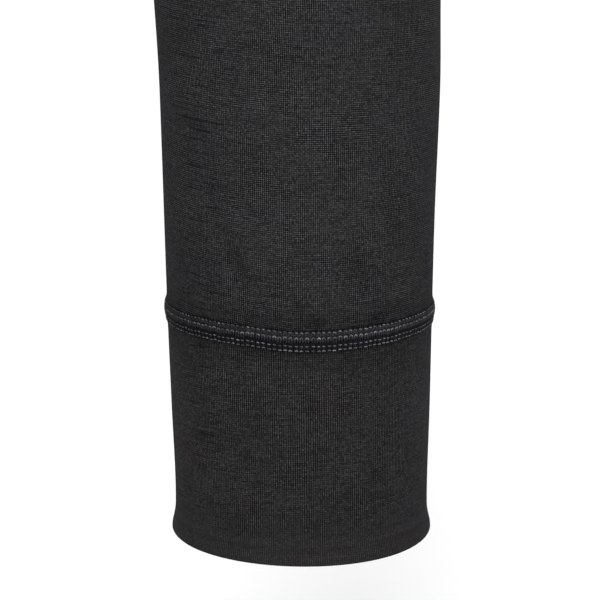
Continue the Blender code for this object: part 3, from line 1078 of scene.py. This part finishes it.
def knit_group():
    """Knit stitches on a cut piece, whose UV map is in metres. Each stitch has its own shade, some
    yarns are darker, painted shade darkens the folds and the cloth beside a seam, painted light and shade
    lie along a cuff's hem, and next to a seam the cloth is hidden by dark thread."""
    if "jersey_knit" in bpy.data.node_groups:
        return bpy.data.node_groups["jersey_knit"]
    inputs = {
        "Cut": (0, 0, 0),
        "Seam Gap": 1.0,
        "Shade": 1.0,
        "Relief": 1.0,
        "Seam Painted Light": 1.0,
        "Cloth": (0.02, 0.02, 0.02, 1),
        "Warm": (0.02, 0.02, 0.02, 1),
        "Thread": (0.01, 0.01, 0.01, 1),
        "Wale": 0.00064,
        "Course": 0.00062,
        "Wale Depth": 0.5,
        "Course Depth": 0.5,
        "Wander": 0.7,
        "Slub": 0.1,
        "Streaks": 0.5,
    }
    outputs = {"Color": WHITE, "Roughness": 1.0, "Height": 0.0}
    group, given, result = new_group("jersey_knit", inputs, outputs)
    # Towards the inside of the leg the courses slope down a little more
    parts = group.nodes.new("ShaderNodeSeparateXYZ")
    put(group, parts.inputs[0], given["Cut"])
    across, along = parts.outputs[0], parts.outputs[1]
    along = scaled(group, calc(group, "MINIMUM", across, 0.0), COURSE_SKEW, along)
    cut = flat_vector(group, across, along)

    def field(spots_across, spots_along, offset=0.0, detail=2.0):
        place = vector_calc(group, "MULTIPLY", cut, (spots_across, spots_along, 1))
        if offset:
            place = vector_calc(group, "ADD", place, (offset, offset, 0))
        return noise(group, place, 1.0, detail)

    def about_zero(spots):
        return calc(group, "SUBTRACT", field(*spots), 0.5)

    def patches(kind):
        return stepped(group, field(*kind[:-1]), kind.step)

    def wave(turns):
        return calc(group, "COSINE", times(group, turns, 2 * math.pi))

    columns = calc(group, "DIVIDE", across, given["Wale"])
    columns = scaled(group, about_zero(COLUMN_WANDER), given["Wander"], columns)
    wale = wave(columns)
    rows = calc(group, "DIVIDE", along, given["Course"])
    rows = scaled(group, about_zero(ROW_WANDER), ROW_WANDER_DEPTH, rows)
    rows = scaled(group, calc(group, "ABSOLUTE", wale), LOOP_ARCH, rows)
    wale_share = times(group, given["Wale Depth"], patches(WALE_SHARES))
    course_share = times(group, given["Course Depth"], patches(COURSE_SHARES))
    wale_tone = scaled(group, wale, wale_share, 1.0)
    course_tone = scaled(group, wave(rows), course_share, 1.0)

    # Every stitch has its own shade, and so has each yarn for a short way along its row
    stitch = group.nodes.new("ShaderNodeTexWhiteNoise")
    stitch.noise_dimensions = "2D"
    cell = flat_vector(group, calc(group, "ROUND", columns), calc(group, "ROUND", rows))
    put(group, stitch.inputs["Vector"], cell)
    fibre = about_zero(FIBRES)
    slub = times(group, about_zero(SLUBS), given["Slub"])
    # Thin dark yarns, most of them towards the inside of the leg
    inwards = stepped(group, across, YARNS_INWARDS)
    streaky = times(group, patches(YARN_PLACES), given["Streaks"], inwards)
    tone = times(
        group,
        wale_tone,
        course_tone,
        scaled(group, stitch.outputs["Value"], *STITCH_TONE),
        scaled(group, fibre, FIBRE_DEPTH, 1.0),
        scaled(group, slub, SLUB_DEPTH, 1.0),
        mixed(group, streaky, 1.0, patches(DARK_YARNS)),
    )
    tone = mixed(group, given["Relief"], 1.0, tone)
    tone = calc(group, "MAXIMUM", times(group, tone, patches(TONE_PATCHES)), LEAST_TONE)

    # Painted shade: the shadow beside a seam and along its edge, times the painted light and shade that each
    # point keeps
    gap = given["Seam Gap"]
    shadow = times(group, stepped(group, gap, SEAM_SHADOW), stepped(group, gap, SEAM_EDGE_SHADOW), given["Shade"])
    cloth = mixed(group, patches(WARM_PATCHES), given["Cloth"], given["Warm"], "RGBA")
    cloth = tinted(group, cloth, times(group, tone, shadow))
    # The thread beside a seam takes the seam's painted light and shade
    thread_tone = times(group, scaled(group, tone, *SEAM_THREAD_TONE), given["Seam Painted Light"])
    thread = tinted(group, given["Thread"], thread_tone)
    put(group, result["Color"], mixed(group, stepped(group, gap, SEAM_THREAD), cloth, thread, "RGBA"))
    put(group, result["Roughness"], scaled(group, tone, *KNIT_ROUGHNESS))
    height = calc(group, "ADD", wale_tone, course_tone)
    put(group, result["Height"], scaled(group, fibre, FIBRE_RELIEF, height))
    return group


def knit_material(name):
    """Matte wool knit that turns to dark thread next to a seam."""
    if name in bpy.data.materials:
        return bpy.data.materials[name]
    cut, colours = bpy.context.scene.pants_cut, bpy.context.scene.pants_colours
    look = KNIT_LOOKS[name]
    material, tree, shader = new_material(name, KNIT_SHADER)
    uv = tree.nodes.new("ShaderNodeUVMap")
    uv.uv_map = "cut"
    knit = add_group(tree, knit_group())
    put(tree, knit.inputs["Cut"], uv.outputs[0])
    for socket in ("Seam Gap", "Shade", "Relief", "Seam Painted Light"):
        put(tree, knit.inputs[socket], kept_value(tree, socket.lower().replace(" ", "_")))
    for socket, value in (
        ("Cloth", (*getattr(colours, look.cloth), 1)),
        ("Warm", (*getattr(colours, look.warm), 1)),
        ("Thread", (*(part * look.thread for part in colours.cover), 1)),
        ("Wale", cut.wale * look.wide),
        ("Course", cut.course * look.high),
        ("Wale Depth", look.wale_depth),
        ("Course Depth", look.course_depth),
        ("Wander", look.wander),
        ("Slub", look.slub),
        ("Streaks", look.streaks),
    ):
        knit.inputs[socket].default_value = value
    # Painted shade: the cloth is made darker where it is seen from the side, towards the leg's edges
    side_on = tree.nodes.new("ShaderNodeLayerWeight").outputs["Facing"]
    depth = times(tree, scaled(tree, side_on, look.edge, 1.0), stepped(tree, side_on, SIDE_SHADE))
    put(tree, shader.inputs["Base Color"], tinted(tree, knit.outputs["Color"], depth))
    put(tree, shader.inputs["Roughness"], knit.outputs["Roughness"])
    relief = tree.nodes.new("ShaderNodeBump")
    relief.inputs["Strength"].default_value = look.bump
    relief.inputs["Distance"].default_value = RELIEF_DISTANCE
    put(tree, relief.inputs["Height"], knit.outputs["Height"])
    put(tree, shader.inputs["Normal"], relief.outputs[0])
    return material


def thread_group():
    """The strands of a twisted thread, its lighter and darker lengths, and the painted light and shade it is
    given at each point.
    """
    if "twisted_thread" in bpy.data.node_groups:
        return bpy.data.node_groups["twisted_thread"]
    inputs = {
        "Place": (0, 0, 0),
        "Thread": (0.05, 0.05, 0.05, 1),
        "Dark": 0.3,
        "Light": 1.0,
        "Uneven": 0.5,
    }
    group, given, result = new_group("twisted_thread", inputs, {"Color": WHITE, "Roughness": 1.0})
    strands = noise(group, given["Place"], STRANDS)
    lengths = stepped(group, noise(group, given["Place"], LENGTHS), LENGTH_TONES)
    tone = scaled(group, stepped(group, strands, STRAND_TONES), STRAND_DEPTH, given["Dark"])
    lengths = mixed(group, given["Uneven"], 1.0, lengths)
    tone = times(group, tone, times(group, lengths, given["Light"]))
    put(group, result["Color"], tinted(group, given["Thread"], tone))
    put(group, result["Roughness"], scaled(group, strands, *THREAD_ROUGHNESS))
    return group


def thread_material(name):
    """Twisted sewing thread, or the painted shade of a needle hole."""
    if name in bpy.data.materials:
        return bpy.data.materials[name]
    look = THREAD_LOOKS[name]
    material, tree, shader = new_material(name, {"Specular IOR Level": look.specular})
    thread = add_group(tree, thread_group())
    put(tree, thread.inputs["Place"], tree.nodes.new("ShaderNodeTexCoord").outputs["Object"])
    thread.inputs["Thread"].default_value = (*getattr(bpy.context.scene.pants_colours, look.colour), 1)
    thread.inputs["Dark"].default_value = look.dark
    thread.inputs["Uneven"].default_value = look.uneven
    # Painted light and shade laid on each point of the seam's threads
    put(tree, thread.inputs["Light"], kept_value(tree, "light"))
    put(tree, shader.inputs["Base Color"], thread.outputs["Color"])
    put(tree, shader.inputs["Roughness"], thread.outputs["Roughness"])
    return material


def floor_material():
    """A white that is very slightly uneven."""
    material, tree, shader = new_material("pale_floor", FLOOR_SHADER)
    place = tree.nodes.new("ShaderNodeTexCoord").outputs["Object"]
    tone = scaled(tree, noise(tree, place, FLOOR_SPOTS), *FLOOR_TONE)
    put(tree, shader.inputs["Base Color"], tinted(tree, WHITE, tone))
    return material


def named_pieces(*names):
    """Finished pieces by their names."""
    return [bpy.data.objects[name] for name in names]


class PANTS_OT_legs(bpy.types.Operator):
    """Knit both leg panels."""

    bl_idname = "pants.legs"
    bl_label = "Knit the legs"

    def execute(self, context):
        for side, ankle in (("left", ANKLE_FOLDS), ("right", turned(ANKLE_FOLDS))):
            piece = leg_panel(f"{side}_leg_knit", side, LEG_FOLDS + ankle)
            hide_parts(f"leg_{side}")
        return {"FINISHED"}


class PANTS_OT_cuffs(bpy.types.Operator):
    """Fold both cuffs."""

    bl_idname = "pants.cuffs"
    bl_label = "Fold the cuffs"

    def execute(self, context):
        for side, folds in (("left", CUFF_FOLDS), ("right", turned(CUFF_FOLDS))):
            piece = folded_ring(f"{side}_cuff_knit", CUFF_RING, side, folds)
            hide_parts(f"cuff_{side}")
        return {"FINISHED"}


class PANTS_OT_waistband(bpy.types.Operator):
    """Fold the waistband over its elastic."""

    bl_idname = "pants.waistband"
    bl_label = "Fold the waistband"

    def execute(self, context):
        piece = folded_ring("waistband_knit", BAND_RING, "left", ())
        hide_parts("waistband")
        return {"FINISHED"}


class PANTS_OT_cuff_seams(bpy.types.Operator):
    """Sew each cuff to its leg with a flat seam of four rows."""

    bl_idname = "pants.cuff_seams"
    bl_label = "Sew the cuffs"

    def execute(self, context):
        section = section_at(CUFF_SEAM)
        angles = arc_table(section)[0]
        x, y = on_section(section, angles)
        for side, sign in SIDES:
            z = CUFF_SEAM + HEM_Z + seam_shift(angles, CUFF_SEAM)
            points = np.stack([sign * x, y, z], 1)
            cloth = named_pieces(f"{side}_leg_knit", f"{side}_cuff_knit")
            seam = Seam(points, [(0, 0, 1)] * len(points), cloth, seam_painted_light(angles))
            sew(f"{side}_cuff_seam", seam, CUFF_SEAM_KIND)
        return {"FINISHED"}


class PANTS_OT_long_seams(bpy.types.Operator):
    """Sew the inseams, and the rise from the front waist under the crotch to the back waist."""

    bl_idname = "pants.long_seams"
    bl_label = "Sew the inseams and the rise"

    def execute(self, context):
        inseam_heights = np.linspace(CUFF_SEAM + SEAM_END, CROTCH - CROTCH_END, INSEAM_PLACES)
        for side, sign in SIDES:
            points, sideways = [], []
            for height in inseam_heights:
                section = section_at(height)
                edge = edge_angles(section)[1]
                x, y = on_section(section, np.array([edge - EDGE_TURN, edge, edge + EDGE_TURN]))
                run = math.hypot(x[2] - x[0], y[2] - y[0])
                points.append((sign * x[1], y[1], height + HEM_Z))
                sideways.append((sign * (x[2] - x[0]) / run, (y[2] - y[0]) / run, 0))
            seam = Seam(points, sideways, named_pieces(f"{side}_leg_knit"))
            sew(f"{side}_inseam", seam, LONG_SEAM_KIND)
        front, back = [], []
        for share in np.linspace(0, 1, RISE_PLACES):
            height = CROTCH + (BAND_LOW - SEAM_END - CROTCH) * share**2
            section = section_at(height)
            edges = np.array(edge_angles(section))
            y = on_section(section, edges)[1]
            front.append((0, y[0], height + HEM_Z))
            back.append((0, y[1], height + HEM_Z))
        points = front[::-1] + back[1:]
        seam = Seam(points, [(1, 0, 0)] * len(points), named_pieces("left_leg_knit", "right_leg_knit"))
        sew("rise_seam", seam, LONG_SEAM_KIND)
        return {"FINISHED"}


class PANTS_OT_waist_seam(bpy.types.Operator):
    """Sew the waistband to the legs."""

    bl_idname = "pants.waist_seam"
    bl_label = "Sew the waistband"

    def execute(self, context):
        section = section_at(BAND_LOW)
        angles = arc_table(section)[0]
        x, y = on_section(section, angles)
        half = [(a, b, BAND_LOW + HEM_Z) for a, b in zip(x, y)]
        points = half + [(-a, b, c) for a, b, c in half[-2::-1]]
        cloth = named_pieces("left_leg_knit", "right_leg_knit", "waistband_knit")
        seam = Seam(points, [(0, 0, 1)] * len(points), cloth)
        sew("waist_seam", seam, LONG_SEAM_KIND)
        return {"FINISHED"}


class PANTS_OT_declare_cloth(bpy.types.Operator):
    """A step that does nothing."""

    bl_idname = "pants.declare_cloth"
    bl_label = "State the cut"

    def execute(self, context):
        return {"FINISHED"}


class PANTS_OT_stage(bpy.types.Operator):
    """Set the pale floor, the soft lights and the camera."""

    bl_idname = "pants.stage"
    bl_label = "Set the studio"

    def execute(self, context):
        studio, scene = context.scene.pants_studio, context.scene
        ankle = section_at(CUFF_SEAM)
        shape = bmesh.new()
        bmesh.ops.create_grid(shape, x_segments=1, y_segments=1, size=FLOOR_HALF_WIDTH)
        bmesh.ops.translate(shape, verts=shape.verts, vec=(0, 0, HEM_Z - studio.floor_drop))
        mesh = bpy.data.meshes.new("floor")
        shape.to_mesh(mesh)
        shape.free()
        mesh.materials.append(floor_material())
        floor = add_object("floor", mesh)

        world = bpy.data.worlds.new("studio")
        world.use_nodes = True
        background = world.node_tree.nodes["Background"]
        background.inputs["Color"].default_value = WHITE
        background.inputs["Strength"].default_value = studio.surround
        scene.world = world

        target = Vector((ankle.centre_x, ankle.centre_y, CUFF_SEAM + HEM_Z))
        light = bpy.data.lights.new("key", "AREA")
        light.shape = "DISK"
        light.size = KEY_WIDTH
        light.energy = studio.key
        key = add_object("key", light)
        key.location = target + Vector(KEY_FROM_SEAM)
        key.rotation_euler = (target - key.location).to_track_quat("-Z", "Y").to_euler()

        data = bpy.data.cameras.new("camera")
        data.lens = studio.lens
        camera = add_object("camera", data)
        camera.location = (
            ankle.centre_x + CAMERA_ASIDE,
            ankle.centre_y - studio.camera_distance,
            target.z + studio.camera_above_seam,
        )
        camera.rotation_euler = (math.pi / 2 - studio.camera_pitch, 0, 0)
        scene.camera = camera
        scene.view_settings.view_transform = "Standard"
        return {"FINISHED"}


STEPS = (
    PANTS_OT_stage,
    PANTS_OT_legs,
    PANTS_OT_cuffs,
    PANTS_OT_waistband,
    PANTS_OT_cuff_seams,
    PANTS_OT_long_seams,
    PANTS_OT_waist_seam,
    PANTS_OT_declare_cloth,
)


class PANTS_PT_panel(bpy.types.Panel):
    """Lists the steps and the sizes they read."""

    bl_idname = "PANTS_PT_panel"
    bl_label = "Base layer pants"
    bl_space_type = "VIEW_3D"
    bl_region_type = "UI"
    bl_category = "Pants"

    def draw(self, context):
        for group in (context.scene.pants_cut, context.scene.pants_colours, context.scene.pants_studio):
            box = self.layout.box()
            for name in group.__annotations__:
                box.prop(group, name)
        for step in STEPS:
            self.layout.operator(step.bl_idname)


GROUPS = {"pants_cut": PantsCut, "pants_colours": PantsColours, "pants_studio": PantsStudio}


def register():
    for item in (*GROUPS.values(), *STEPS, PANTS_PT_panel):
        bpy.utils.register_class(item)
    for name, group in GROUPS.items():
        setattr(bpy.types.Scene, name, PointerProperty(type=group))


def unregister():
    for name in GROUPS:
        delattr(bpy.types.Scene, name)
    for item in reversed((*GROUPS.values(), *STEPS, PANTS_PT_panel)):
        bpy.utils.unregister_class(item)


def main():
    register()
    for step in STEPS:
        group, name = step.bl_idname.split(".")
        getattr(getattr(bpy.ops, group), name)()


if __name__ == "__main__":
    main()
